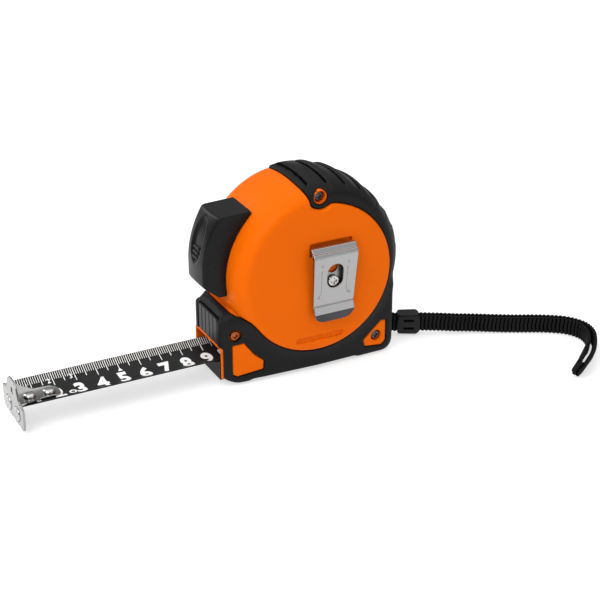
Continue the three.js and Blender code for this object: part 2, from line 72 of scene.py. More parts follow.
CASE_LOW, CASE_HIGH = box_mm("clip_side_case_half", "back_side_case_half",
                             "clip_side_rubber_jacket", "back_side_rubber_jacket")
COIL_LOW, COIL_HIGH = box_mm("tape_coil")
PIN_LOW, PIN_HIGH = box_mm("strap_pin")
CLIP_LOW, CLIP_HIGH = box_mm("clip_arm")
HOOK_X = box_mm("end_hook")[0][0]
BLADE_LOW, BLADE_HIGH = box_mm("blade")
ROOT_LOW, ROOT_HIGH = box_mm("blade_root")

COARSE = 1.0
AXIS_Z = (COIL_LOW[2] + COIL_HIGH[2]) / 2
CROWN_R = CASE_HIGH[2] - AXIS_Z
FACE_Y = CASE_HIGH[1]
NOSE_X = CASE_LOW[0]
PIN_X, PIN_Y = ((PIN_LOW + PIN_HIGH) / 2)[:2]
REAR_WALL = PIN_X + 2.6
SHELL_INSET = 2.0             # how far the bare crown lies inside the rubber's
RUBBER_FACE = FACE_Y - 1.2    # half thickness over the rubber's side faces
RUBBER_T = 1.9
SEAM = -0.2                   # the halves overlap by this at the middle, so no line shows
RIM = (-2.6, 35.2)            # the bare disc's centre above the axis, and its radius
ROOM = (37.4, 18.6)           # the reel's room: radius and half width
MOUTH = (3.2, 17.6, 13.2)     # lowest and highest z, and half width
PANEL = (18.8, 31.6)          # lowest and highest z of the nose panel
TOP_RING = 3.3                # radius of the shell's ring round the top screw

BLADE_T = 0.3
BLADE_W = BLADE_HIGH[1] - BLADE_LOW[1]
BLADE_SAG = BLADE_HIGH[2] - BLADE_LOW[2] - BLADE_T
BLADE_R = (BLADE_W ** 2 / 4 + BLADE_SAG ** 2) / (2 * BLADE_SAG)
BLADE_FLOOR = BLADE_LOW[2]


# ---------------------------------------------------------------- distance fields

def smax(a, b, k):
    """The larger of two fields, with the edge where they meet rounded over about k."""
    h = np.maximum(k - np.abs(a - b), 0.0)
    return np.maximum(a, b) + h * h * (0.25 / k)


def smin(a, b, k):
    return -smax(-a, -b, k)


def ramp(v, low, high):
    """0 below low, 1 above high, and a smooth step between."""
    t = np.clip((v - low) / (high - low), 0.0, 1.0)
    return t * t * (3 - 2 * t)


def slab(v, low, high):
    return np.abs(v - (low + high) / 2) - (high - low) / 2


def block(x, y, z, low, high, k=0.6):
    inner = smax(slab(x, low[0], high[0]), slab(y, low[1], high[1]), k)
    return smax(inner, slab(z, low[2], high[2]), k)


def polygon(u, v, points, radius=0.0):
    """Distance to a closed outline in a plane, with its corners rounded by radius."""
    nearest = np.inf
    inside = np.zeros(np.broadcast(u, v).shape, bool)
    for (au, av), (bu, bv) in zip(points, points[1:] + points[:1]):
        eu, ev = bu - au, bv - av
        t = np.clip(((u - au) * eu + (v - av) * ev) / (eu * eu + ev * ev), 0, 1)
        nearest = np.minimum(nearest, np.hypot(u - au - t * eu, v - av - t * ev))
        crosses = (av > v) != (bv > v)
        if ev:
            inside ^= crosses & (u < au + (v - av) * eu / ev)
    return np.where(inside, -nearest, nearest) - radius


def path_distance(u, v, points):
    """Distance to an open polyline in a plane."""
    nearest = np.inf
    for (au, av), (bu, bv) in zip(points, points[1:]):
        eu, ev = bu - au, bv - av
        t = np.clip(((u - au) * eu + (v - av) * ev) / (eu * eu + ev * ev), 0, 1)
        nearest = np.minimum(nearest, np.hypot(u - au - t * eu, v - av - t * ev))
    return nearest


# ---------------------------------------------------------------- meshing a field

CORNERS = list(itertools.product((0, 1), repeat=3))
CELL_EDGES = [(a, b) for a in CORNERS for b in CORNERS
              if sum(b) - sum(a) == 1 and all(p <= q for p, q in zip(a, b))]


def gradient(field, points, reach):
    slope = np.empty_like(points)
    for k in range(3):
        step = np.zeros(3)
        step[k] = reach
        ahead = field(*(points + step).T)
        slope[:, k] = (ahead - field(*(points - step).T)) / (2 * reach)
    return slope


def net(value):
    """Surface net of a sampled field: cell points in grid units, and outward quads."""
    inside = value < 0
    cells = [n - 1 for n in value.shape]
    count = np.zeros(cells, np.int8)
    for corner in CORNERS:
        count += inside[tuple(slice(c, c + n) for c, n in zip(corner, cells))]
    active = (count > 0) & (count < 8)
    index = np.argwhere(active)
    number = np.full(cells, -1)
    number[active] = np.arange(len(index))
    total = np.zeros((len(index), 3))
    hits = np.zeros(len(index))
    for a, b in CELL_EDGES:
        va = value[tuple((index + a).T)]
        vb = value[tuple((index + b).T)]
        cross = (va < 0) != (vb < 0)
        share = va[cross] / (va[cross] - vb[cross])
        total[cross] += np.array(a) + share[:, None] * (np.array(b) - np.array(a))
        hits += cross
    quads = []
    for k in range(3):
        i, j = (k + 1) % 3, (k + 2) % 3
        near = [slice(1, -1)] * 3
        near[k] = slice(0, -1)
        far = list(near)
        far[k] = slice(1, None)
        first, second = inside[tuple(near)], inside[tuple(far)]
        at = np.argwhere(first != second)
        at[:, i] += 1
        at[:, j] += 1
        ei, ej = np.eye(3, dtype=int)[i], np.eye(3, dtype=int)[j]
        ring = np.stack([number[tuple(q.T)] for q in (at - ei - ej, at - ej, at, at - ei)], axis=1)
        outward = inside[tuple(at.T)]
        quads.append(np.where(outward[:, None], ring, ring[:, ::-1]))
    return index + total / hits[:, None], np.concatenate(quads)


def surface(name, field, low, high, pitch, place=None):
    """Meshes a field inside a box; place turns field points into frame points."""
    axes = [np.arange(a, b + pitch, pitch, dtype=np.float32) for a, b in zip(low, high)]
    value = field(*np.meshgrid(*axes, indexing="ij", sparse=True))
    points, quads = net(np.broadcast_to(value, [len(a) for a in axes]))
    points = np.array(low) + pitch * points
    start = points.copy()
    for _ in range(3):
        slope = gradient(field, points, 0.02)
        steep = np.maximum((slope ** 2).sum(1), 0.05)
        step = (field(*points.T) / steep)[:, None] * slope
        points = start + np.clip(points - step - start, -0.45 * pitch, 0.45 * pitch)
    normals = gradient(field, points, 0.3 * pitch)
    normals /= np.maximum(np.linalg.norm(normals, axis=1), 1e-9)[:, None]
    if place is not None:
        points = place(points)
        normals = place(normals) - place(np.zeros((1, 3)))
    return make_object(name, points, quads.tolist(), normals)


def make_object(name, points, faces, normals=None):
    mesh = bpy.data.meshes.new(name)
    mesh.from_pydata((np.asarray(points) * MM).tolist(), [], faces)
    mesh.shade_smooth()
    if normals is not None:
        mesh.normals_split_custom_set_from_vertices(normals.tolist())
    made = bpy.data.objects.new(name, mesh)
    bpy.context.scene.collection.objects.link(made)
    return made


def finish_piece(piece, body, material, slot, *nodes):
    piece.data.materials.append(material)
    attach(piece, body)
    if nodes:
        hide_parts(*nodes)
    return piece


# ---------------------------------------------------------------- the case

# Outlines in (x, z) of the two places where the orange shell shows through the jacket.
FRONT_WINDOW = [(-40.6, 19.4), (-35.8, 19.8), (-31.2, 13.4), (-26.8, 9.6), (-27, 6), (-38.8, 4.6),
                (-40.6, 5.6)]
REAR_WINDOW = [(35.2, 16), (33.2, 16.2), (24.4, 8.4), (25, 5.4), (33.4, 4.4), (35.2, 6)]
NOSE_END = -29                # the x up to which the frame round the mouth shows
CHANNEL_END = 29              # how far back the blade's channel runs
CLIP_X = (CLIP_LOW[0] + CLIP_HIGH[0]) / 2
HOLE_Z = AXIS_Z               # the middle of the clip's long hole
RIB_ANGLES = (94.5, 80.5, 67, 54, 41, 29, 18, 6)   # degrees round the reel axis, from +X
SHOULDER = 14.6               # half width of the ribbed part of the crown
SCREWS = {"front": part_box("front_case_screw"), "top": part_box("top_case_screw"),
          "rear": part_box("rear_case_screw"), "clip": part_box("clip_screw")}


def screw_axis(name):
    """Where a screw's axis is, in x and z, and the y that its head's front is at."""
    low, high = np.array(SCREWS[name][0]) / MM, np.array(SCREWS[name][1]) / MM
    return (low[0] + high[0]) / 2, (low[2] + high[2]) / 2, low[1]


def windows(x, z, radius):
    return np.minimum(polygon(x, z, FRONT_WINDOW, radius), polygon(x, z, REAR_WINDOW, radius))


def mouth_frame(y, z):
    """The outside of the orange frame round the mouth, seen from the front."""
    return smax(np.abs(y) - 14.1, slab(z, 3.4, 18.7), 0.8)


def drum(x, y, z, inset, face):
    """The round body: a crowned rim, a bevel that widens towards the top, and the flat face."""
    side = np.abs(y)
    r = np.hypot(x, z - AXIS_Z)
    high = ramp(z, 56, 74)
    crown = r - (CROWN_R - inset - (0.0041 + 0.0035 * high) * side * side)
    tilt = np.radians(30 + 9 * high)
    bevel = np.sin(tilt) * (r - 36 - 1.4 * high) + np.cos(tilt) * (side - face)
    return smax(smax(side - face, bevel, 1.2), crown, 4)


def foot(x, y, z, inset):
    """The nose and the heel: a block under the drum whose sides draw in towards the nose."""
    side = np.abs(y)
    half = np.interp(x, (NOSE_X, -40, -26, 0, 39), (15.2, 16.2, 17.4, 18.6, 18.2)) - inset
    under = inset + 1.2 * ramp(x, -34, -31) * (1 - ramp(x, 19, 22)) * ramp(side, 8.4, 9.4)
    roof = np.interp(x, (NOSE_X, -44, -41, -37), (34.2, 35, 35.6, 37)) - inset
    heel = smax(x - REAR_WALL + inset, inset - z, 6.5)
    plan = smax(smax(NOSE_X + inset - x, side - half, 4.2), heel, 3)
    toe = 0.55 * (-38.5 - x) + inset - z
    return smax(smax(smax(plan, under - z, 1.2), toe, 1.5), z - roof, 5)


def crown_share(angle):
    """How far along its own slab a place on the rubber crown is, from 0 at its front edge to 1."""
    slabs = len(RIB_ANGLES) - 1
    return np.interp(-angle, [-a for a in RIB_ANGLES], range(slabs + 1)) % 1


def rib_inset(x, y, z):
    """How far the rubber crown lies below the case radius: slabs that step down from rib to rib."""
    angle = np.degrees(np.arctan2(z - AXIS_Z, x))
    share = crown_share(angle)
    depth = 0.95 * ramp(share, 0.05, 0.84) + 0.85 * ramp(share, 0.78, 0.88)
    depth = depth * (1 - ramp(share, 0.89, 1.0))
    depth = depth + 1.3 * ramp(angle, RIB_ANGLES[0], RIB_ANGLES[0] + 1.4)
    fade = 1 - ramp(np.abs(y), 14.2, 15.6)
    return 0.1 + depth * (0.2 + 0.8 * fade) * ramp(angle, 4, 8)


def bare(x, z):
    """Negative where no rubber covers the shell: the side disc and the front, except round the top
    screw.
    """
    disc = np.hypot(x, z - AXIS_Z - RIM[0]) - RIM[1]
    line = np.interp(x, (-50, -41, -38, -30.4, -24), (35.2, 35, 33.5, 30.2, 24))
    crown = x - np.interp(z, (83.6, 87.4, 93), (-4.6, -6.8, -8.2))
    open_front = smax(0.75 * (line - z), crown, 3)
    shell = smin(disc, open_front, 3.5)
    top_x, top_z, _ = screw_axis("top")
    return smax(shell, 5.4 - np.hypot(x - top_x, z - top_z), 2.5)


def cavity(x, y, z):
    """What both case halves leave free: the reel's room, the blade's way out, and the openings."""
    side = np.abs(y)
    r = np.hypot(x, z - AXIS_Z)
    room = smax(r - ROOM[0], side - ROOM[1], 4.5)
    mouth = smax(side - MOUTH[2], slab(z, MOUTH[0] - 0.8, MOUTH[1]), 1.2)
    mouth = smax(mouth, x - CHANNEL_END, 0.5)
    panel = smax(side - 10.3, slab(z, PANEL[0], PANEL[1] + 0.3), 0.4)
    panel = np.maximum(panel, x - NOSE_X - 1.7)
    angle = np.degrees(np.arctan2(z - AXIS_Z, -x))
    stem = np.maximum(np.maximum(side - 4.3, slab(angle, 8, 32) * 0.7), slab(r, 30, 50))
    strap = polygon(x, y, [(34.4, 4.7), (46, 4.5), (46, -5.9), (38, -3.4), (34.4, -1.7)])
    strap = smax(strap, slab(z, 1.2, 10.8), 0.8)
    pin = np.maximum(np.hypot(x - PIN_X, y - PIN_Y) - 1.35, slab(z, 0.5, 11.5))
    return np.minimum(np.minimum(np.minimum(room, mouth), np.minimum(panel, stem)),
                      np.minimum(strap, pin))


def clip_pocket(x, y, z):
    """The hole that the clip's upper bend dips into, and the sunk grip bar below the clip."""
    slot_hole = block(x, y, z, (CLIP_X - 10.4, -30, 57.4), (CLIP_X + 10.4, -19.8, 63.6), 0.5)
    bar = np.hypot(np.maximum(np.abs(x + 0.3) - 10.6, 0), z - 17.4) - 1.3
    bar = smax(bar, y + FACE_Y - 0.85 + 0.16 * np.cos(5.6 * x), 0.15)
    return np.minimum(slot_hole, np.maximum(bar, -24 - y))


def screw_wells(x, y, z, radii):
    """The holes that the heads of the front, top and rear screws sit in."""
    wells = np.inf
    for name, radius in zip(("front", "top", "rear"), radii):
        cx, cz, seat = screw_axis(name)
        well = np.maximum(np.hypot(x - cx, z - cz) - radius, y - seat - 1.75)
        wells = np.minimum(wells, well)
    return wells


def shell_body(x, y, z):
    """Both orange halves as one solid: what shows, the core under the rubber, and the windows."""
    outer = smax(drum(x, y, z, SHELL_INSET, FACE_Y), bare(x, z), 1.3)
    core = np.minimum(drum(x, y, z, RUBBER_T + 1.2, RUBBER_FACE - RUBBER_T),
                      foot(x, y, z, RUBBER_T))
    trim = smax(mouth_frame(y, z), slab(x, NOSE_X + 0.25, NOSE_END - 1), 0.5)
    pane = smax(smax(windows(x, z, 0.5), foot(x, y, z, 0.5), 0.8), 8 - np.abs(y), 0.5)
    return smin(np.minimum(np.minimum(outer, core), trim), pane, 0.2)


def button_bay(x, y, z):
    """A shallow seat in the shell round the lock button."""
    angle = np.degrees(np.arctan2(z - AXIS_Z, -x))
    area = smax(np.abs(y) - 11.8, slab(angle, -14, 44) * 0.7, 2)
    return smax(area, CROWN_R - 2.6 - np.hypot(x, z - AXIS_Z), 0.6)


def case_field(side):
    """One orange half: side is 1 for the clip side (-Y) and -1 for the back."""
    def field(x, y, z):
        body = smax(shell_body(x, y, z), -cavity(x, y, z), 0.4)
        body = smax(body, -button_bay(x, y, z), 0.5)
        top_x, top_z, _ = screw_axis("top")
        ring = smax(np.hypot(x - top_x, z - top_z) - TOP_RING, slab(y * side, -19.5, -12), 0.4)
        body = np.minimum(body, ring)
        body = smax(body, -screw_wells(x, y * side, z, (2.85, 2.7, 2.7)), 0.3)
        if side > 0:
            body = smax(body, -clip_pocket(x, y, z), 0.35)
        return np.maximum(body, side * y + SEAM)
    return field


def jacket_field(side):
    """One rubber jacket, for the same side as its case half."""
    def field(x, y, z):
        ribbed = drum(x, y, z, rib_inset(x, y, z), RUBBER_FACE)
        thin = 0.8 * ramp(z, 30.8, 31.8) * (1 - ramp(x, -38, -34))
        outer = smin(ribbed, foot(x, y, z, thin), 3)
        under = np.minimum(drum(x, y, z, RUBBER_T + 1.1, RUBBER_FACE - RUBBER_T + 0.05),
                           foot(x, y, z, RUBBER_T - 0.05))
        sheet = smax(outer, 0.15 - bare(x, z), 0.9)
        panes = np.maximum(windows(x, z, 0.65), 8 - np.abs(y))
        sheet = smax(smax(sheet, -under, 0.3), -panes, 0.7)
        sheet = smax(sheet, -np.maximum(mouth_frame(y, z), x - NOSE_END), 0.4)
        sheet = smax(sheet, -cavity(x, y, z), 0.5)
        sheet = smax(sheet, -screw_wells(x, y * side, z, (2.9, TOP_RING + 0.1, 2.75)), 0.4)
        return np.maximum(sheet, side * y + SEAM)
    return field


# ---------------------------------------------------------------- small parts as fields

def button_field(x, y, z):
    """The thumb lock: a wedge that stands out of the crown, with a dished front and three ribs."""
    side = np.abs(y)
    half = 9.5 - 0.9 * ramp(x, -44, -52)
    front = -x - 51.45 + 0.0133 * np.maximum(z - 55, 0) ** 2 + 0.009 * side * side
    skin = 0.97 * front
    top = z - 79.4 - 0.035 * (x + 28.2)
    low = np.interp(x, (-52, -43.2), (47.6, 40.8)) - z
    body = smax(smax(side - half, skin, 1.4), smax(top, 0.8 * low, 1.0), 1.1)
    body = np.maximum(body, CROWN_R - 1.75 - 0.006 * side * side - np.hypot(x, z - AXIS_Z))
    body = np.maximum(body, x + 24)
    dish = np.hypot(y / 5.0, (z - 66.2) / 10.6) - 1
    depth = 1.15 * (1 - ramp(dish, -0.22, 0.02))
    ribs = np.inf
    for k in range(3):
        ribs = np.minimum(ribs, np.hypot(np.maximum(side - 2.3, 0), z - 58.6 - 2.3 * k) - 0.55)
    ribs = smax(ribs, np.abs(skin + 0.9) - 0.75, 0.3)
    cut = smax(-(skin + depth), dish * 4.4, 0.5)
    return np.minimum(smax(body, -cut, 0.5), smax(ribs, body, 0.3))


# The middle of the clip's strip in (y, z), from the end inside the case to the lip.
CLIP_PATH = [(-22.15, 57.6), (-21.2, 59.4), (-21.3, 61), (-22.4, 62), (-23.5, 61.7),
             (-26.2, 58.6), (-23.6, 34.4), (-25, 30.4), (-24.2, 26.4)]
CLIP_T = 0.9


def clip_field(x, y, z):
    """The belt clip: a bent strip with a long hole, two pips and two pressed J-shaped lines."""
    across = np.abs(x - CLIP_X)
    half = np.interp(z, (26, 33, 62), (9.9, 10, 11)) - 1.2 * ramp(y, -22.9, -22.3)
    foot_z = CLIP_LOW[2] + 5
    corner = np.hypot(np.maximum(across - (half - 5), 0), np.minimum(z - foot_z, 0)) - 5
    outline = np.maximum(across - half, np.where(z < foot_z, corner, across - half))
    pressed = np.inf
    for turn in (-1, 1):
        pressed = np.minimum(pressed, path_distance(
            x - CLIP_X, z, [(turn * 6.4, 51.5), (turn * 6.2, 41.5), (turn * 6.6, 39.6),
                            (turn * 7.8, 38.6)]))
    dent = 0.34 * (1 - ramp(pressed, 0.2, 0.6))
    pips = np.hypot(across - 6.5, z - 54.4)
    dent = dent + 0.4 * (1 - ramp(pips, 0.25, 0.7))
    for bend in (60.3, 58.5, 34.2):
        dent = dent + 0.34 * (1 - ramp(np.abs(z - bend), 0.14, 0.36))
    grain = 0.07 * np.sin(9 * x) * np.sin(9 * z) * (1 - ramp(z, 30, 30.6))
    front = y < np.interp(z, (26, 30.4, 34.4, 58.6, 61.7), (-24.2, -25, -23.6, -26.2, -23.5))
    middle = path_distance(y, z, CLIP_PATH)
    strip = middle - CLIP_T / 2 + np.where(front, dent + grain, 0)
    hole = np.hypot(x - CLIP_X, np.maximum(np.abs(z - HOLE_Z) - 1.9, 0)) - 4
    hole = np.maximum(hole, y + 23)
    return smax(smax(strip, outline, 0.3), -hole, 0.25)


def screw_field(cx, cz, seat, radius, height):
    """A pan head with a cross recess, facing -Y, standing on its seat plane."""
    def field(x, y, z):
        r = np.hypot(x - cx, z - cz)
        dome = seat - y - height + 0.1 * r * r / radius
        head = smax(smax(r - radius, dome, 0.5), y - seat, 0.15)
        u, v = np.abs(x - cx), np.abs(z - cz)
        wide = 0.42 + 0.14 * (seat - y) / height
        arm = np.minimum(np.maximum(u - radius * 0.62, v - wide),
                         np.maximum(v - radius * 0.62, u - wide))
        centre = u + v - radius * 0.42
        recess = smax(np.minimum(arm, centre), y - seat + height * 0.35, 0.1)
        return smax(head, -recess, 0.12)
    return field


TONGUE_END = -115.9           # the x of the hook's rounded tip in the blade


def hook_field(x, y, z):
    """The end hook: an upright plate with lobes and a nail hole, and a tongue in the blade."""
    side = np.abs(y)
    outline = [(0, 20), (3.6, 19.7), (5.8, 18.2), (6.8, 15.4), (8, 13), (10.6, 12), (13.8, 11.4),
               (14.2, 8), (13.9, 3.2), (12.6, 1.1), (10.6, 0.6), (8.4, 1.5), (6.2, 0.6), (3, 0.6),
               (0, 1.6), (-3, 0.6), (-3, 19.7)]
    plan = smax(polygon(side, z, outline), 0.62 - z, 0.6)
    wells = np.hypot(side - 5.75, z - 6.2) - 3.5
    slit = np.hypot(y, np.maximum(np.abs(z - 14.6) - 0.4, 0)) - 1.25
    plate = smax(slab(x, HOOK_X, HOOK_X + 1), plan, 0.35)
    plate = smax(smax(plate, -wells, 0.2), -slit, 0.2)
    radius = BLADE_R - BLADE_T
    r = np.hypot(y, z - BLADE_FLOOR - BLADE_R)
    sheet = slab(r, radius - 1.08, radius - 0.08)
    width = np.interp(x, (-137.5, -133.5, -126.5, -119, -116.6, TONGUE_END),
                      (10.8, 10.2, 5, 4.6, 3, 0.6))
    tongue = smax(smax(sheet, side - width, 0.4), slab(x, HOOK_X + 0.3, TONGUE_END), 0.6)
    tongue = np.maximum(tongue, z - BLADE_FLOOR - 8)
    for i in (1, 2):
        low, high = box_mm(f"hook_rivet_{i}")
        slot = np.maximum(np.abs(x - (low[0] + high[0]) / 2) - 2.55, side - 1.55)
        tongue = np.maximum(tongue, -slot)
    return smin(plate, tongue, 0.8)


# ---------------------------------------------------------------- materials

def material(name, colour, roughness, metallic=0.0, specular=0.5, tone=0.12, scale=900.0,
             bump=0.15, grain=0.06, glow=0.0, stretch=(1, 1, 1)):
    """A procedural finish: mottled colour and roughness, over a fine surface texture."""
    made = bpy.data.materials.new(name)
    made.use_nodes = True
    nodes, links = made.node_tree.nodes, made.node_tree.links
    shader = nodes["Principled BSDF"]
    shader.inputs["Metallic"].default_value = metallic
    shader.inputs["Specular IOR Level"].default_value = specular
    shader.inputs["Emission Color"].default_value = (1, 1, 1, 1)
    shader.inputs["Emission Strength"].default_value = glow
    where = nodes.new("ShaderNodeTexCoord")
    mapping = nodes.new("ShaderNodeMapping")
    mapping.inputs["Scale"].default_value = stretch
    links.new(where.outputs["Object"], mapping.inputs["Vector"])

    def noise(size, detail):
        node = nodes.new("ShaderNodeTexNoise")
        node.inputs["Scale"].default_value = size
        node.inputs["Detail"].default_value = detail
        links.new(mapping.outputs["Vector"], node.inputs["Vector"])
        return node.outputs["Fac"]

    def spread(source, low, high):
        node = nodes.new("ShaderNodeMapRange")
        node.inputs["From Min"].default_value = 0.3
        node.inputs["From Max"].default_value = 0.7
        node.inputs["To Min"].default_value = low
        node.inputs["To Max"].default_value = high
        links.new(source, node.inputs["Value"])
        return node.outputs["Result"]

    broad = noise(45, 3)
    fine = noise(scale, 4)
    tint = nodes.new("ShaderNodeMix")
    tint.data_type = "RGBA"
    tint.inputs["A"].default_value = (*[c * (1 - tone) for c in colour], 1)
    tint.inputs["B"].default_value = (*[min(1, c * (1 + tone)) for c in colour], 1)
    links.new(spread(broad, 0.15, 0.85), tint.inputs["Factor"])
    links.new(tint.outputs["Result"], shader.inputs["Base Color"])
    rough = spread(fine, max(0.02, roughness - grain), min(1, roughness + grain))
    links.new(rough, shader.inputs["Roughness"])
    relief = nodes.new("ShaderNodeBump")
    relief.inputs["Strength"].default_value = bump
    relief.inputs["Distance"].default_value = 0.0001
    links.new(fine, relief.inputs["Height"])
    links.new(relief.outputs["Normal"], shader.inputs["Normal"])
    return made


ORANGE = material("orange_abs", (0.79, 0.129, 0.0012), 0.36, tone=0.03, scale=2600, bump=0.12,
                  specular=0.035)
RUBBER = material("black_rubber", (0.008, 0.0082, 0.0085), 0.48, tone=0.25, scale=2400, bump=0.3,
                  specular=0.12)
# painted shade: a near-black copy of the rubber for the crown's grooves, standing in for their
# shadow
GROOVE_SHADE = material("rubber_groove_painted_shade", (0.0012, 0.0012, 0.0013), 0.7, tone=0.25, scale=2400, bump=0.3,
                  specular=0.02)
GLOSS = material("button_black", (0.0065, 0.0065, 0.007), 0.3, tone=0.2, scale=2200, bump=0.12,
                 specular=0.13)
PANEL_GREY = material("panel_black", (0.016, 0.0165, 0.0175), 0.42, tone=0.15, scale=2500,
                      bump=0.2, specular=0.25)
BLADE_BLACK = material("blade_black", (0.012, 0.012, 0.0125), 0.42, tone=0.12, scale=1800,
                       bump=0.04, specular=0.16, stretch=(0.2, 1, 1))
PRINT = material("blade_print", (0.86, 0.86, 0.84), 0.5, tone=0.04, scale=3000, bump=0.05)
HOOK_STEEL = material("hook_steel", (0.33, 0.33, 0.325), 0.2, metallic=1, tone=0.3, scale=700,
                      bump=0.02, grain=0.08)
NICKEL = material("bright_nickel", (0.5, 0.5, 0.49), 0.15, metallic=1, tone=0.08, scale=300,
                  bump=0.015, stretch=(0.3, 1, 1))
CLIP_STEEL = material("clip_steel", (0.37, 0.37, 0.37), 0.25, metallic=1, tone=0.05, scale=5000,
                      bump=0.004, grain=0.015, stretch=(1, 1, 0.12))
LIP_STEEL = material("clip_lip_steel", (0.055, 0.055, 0.06), 0.45, metallic=0.8, tone=0.5,
                     scale=1400, bump=0.4, grain=0.15)
SPRING = material("spring_steel", (0.3, 0.3, 0.31), 0.35, metallic=1, tone=0.1, scale=1500)
DARK_STEEL = material("dark_steel", (0.09, 0.085, 0.085), 0.3, metallic=0.9, tone=0.2, scale=1200)
COPPER = material("copper_steel", (0.36, 0.1, 0.03), 0.26, metallic=1, tone=0.15, scale=1500)
MAGNET = material("magnet_nickel", (0.5, 0.5, 0.5), 0.22, metallic=1, tone=0.08, scale=900)
REEL = material("reel_plastic", (0.06, 0.06, 0.06), 0.5, tone=0.12)
WEBBING = material("black_webbing", (0.007, 0.007, 0.0075), 0.6, tone=0.3, scale=3200, bump=0.5,
                   specular=0.1)
# painted shade: a near-black copy of the webbing for the faces between the ribs, standing in for
# their shadow
WEBBING_SHADE = material("webbing_painted_shade_between_ribs", (0.0012, 0.0012, 0.0013), 0.8, tone=0.3, scale=3200,
                        bump=0.5, specular=0.02)
SLIDER_BLACK = material("slider_plastic", (0.006, 0.006, 0.0065), 0.36, tone=0.2, scale=2200,
                        specular=0.2)

CARRIED = {
    "mouth_lip": (RUBBER, "black_plastic"), "lock_wedge": (REEL, "reel_plastic"),
    "reel_drum": (REEL, "reel_plastic"), "reel_cover": (REEL, "reel_plastic"),
    "tape_coil": (BLADE_BLACK, "blade_steel"), "spring_arbor": (DARK_STEEL, "dark_steel"),
    "power_spring": (SPRING, "spring_steel"), "strap_pin": (DARK_STEEL, "dark_steel"),
    "clip_base": (SPRING, "spring_steel"),
}
for node, (finish, slot) in CARRIED.items():
    NODES[node].data.materials.clear()
    NODES[node].data.materials.append(finish)


# ---------------------------------------------------------------- the pieces

def frame_box(node, room=1.0):
    """The box of a CAD node with some room round it, to mesh its piece in."""
    low, high = box_mm(node)
    return low - room, high + room


def from_field(name, field, region, pitch, body, finish, slot, *nodes):
    piece = surface(name, field, *region, pitch)
    return finish_piece(piece, body, finish, slot, *nodes)


def darken_grooves(jacket):
    """Paints shade into the grooves between the crown's slabs: their faces get a near-black copy of
    the rubber that stands in for the shadow there.
    """
    jacket.data.materials.append(GROOVE_SHADE)
    middles = np.empty(3 * len(jacket.data.polygons))
    jacket.data.polygons.foreach_get("center", middles)
    x, y, z = middles.reshape(-1, 3).T / MM
    angle = np.degrees(np.arctan2(z - AXIS_Z, x))
    share = crown_share(angle)
    before_first = (angle > RIB_ANGLES[0] + 0.3) & (angle < RIB_ANGLES[0] + 1.4)
    # the faces that get the painted groove shade
    groove = ((share > 0.85) & (share < 0.945) | before_first) & (np.abs(y) < SHOULDER)
    jacket.data.polygons.foreach_set("material_index", groove.astype(np.int32))


for side, label in ((1, "clip_side"), (-1, "back_side")):
    near, far = (-23, 1) if side > 0 else (-1, 23)
    region = (np.array([-48.0, near, -1]), np.array([45.0, far, 93]))
    from_field(f"{label}_shell", case_field(side), region, 0.5 * COARSE, "case", ORANGE,
               "orange_shell", f"{label}_case_half")
    jacket = from_field(f"{label}_jacket", jacket_field(side), region, 0.4 * COARSE, "case", RUBBER,
                        "rubber_jacket", f"{label}_rubber_jacket")
    darken_grooves(jacket)

from_field("thumb_lock", button_field, frame_box("lock_button"), 0.38 * COARSE, "lock", GLOSS,
           "black_plastic", "lock_button")
belt_clip = from_field("belt_clip", clip_field, frame_box("clip_arm"), 0.25 * COARSE, "clip",
                       CLIP_STEEL, "clip_steel", "clip_arm")
belt_clip.data.materials.append(LIP_STEEL)
LIP_Z = CLIP_LOW[2] + 4.4
for face in belt_clip.data.polygons:
    if face.center.z / MM < LIP_Z and face.normal.y < -0.8:
        face.material_index = 1
from_field("hook", hook_field, frame_box("end_hook"), 0.25 * COARSE, "hook", HOOK_STEEL,
           "nickel", "end_hook")

SCREW_PITCH = 0.13


def screw_region(cx, cz, near, far):
    """The box to mesh a screw's head in, from one y to another."""
    return np.array([cx - 3.2, near, cz - 3.2]), np.array([cx + 3.2, far, cz + 3.2])


for name, finish, slot in (("front", COPPER, "copper_steel"), ("top", DARK_STEEL, "dark_steel"),
                           ("rear", DARK_STEEL, "dark_steel")):
    cx, cz, seat = screw_axis(name)
    region = screw_region(cx, cz, seat - 1.6, seat + 1.2)
    from_field(f"{name}_screw_head", screw_field(cx, cz, seat + 0.6, 2.1, 1.4), region, SCREW_PITCH,
               "case", finish, slot, f"{name}_case_screw")

cx, cz, seat = screw_axis("clip")
from_field("clip_screw_head", screw_field(cx, cz, seat + 1.3, 2.6, 1.3),
           screw_region(cx, cz, seat - 0.6, seat + 2), SCREW_PITCH, "case", NICKEL, "nickel",
           "clip_screw")


def lathe(name, profile, centre, axis, segments=40):
    """A turned piece: profile pairs are radius and distance along the axis, from centre."""
    axis = Vector(axis).normalized()
    across = axis.orthogonal().normalized()
    beside = axis.cross(across)
    points, faces = [], []
    for radius, along in profile:
        for i in range(segments):
            angle = 2 * math.pi * i / segments
            spoke = across * math.cos(angle) + beside * math.sin(angle)
            points.append(Vector(centre) + axis * along + spoke * radius)
    rows = len(profile)
    for j in range(rows - 1):
        for i in range(segments):
            k = (i + 1) % segments
            faces.append([j * segments + i, j * segments + k,
                          (j + 1) * segments + k, (j + 1) * segments + i])
    faces.append(list(range(segments))[::-1])
    faces.append([(rows - 1) * segments + i for i in range(segments)])
    return make_object(name, [tuple(p) for p in points], faces)


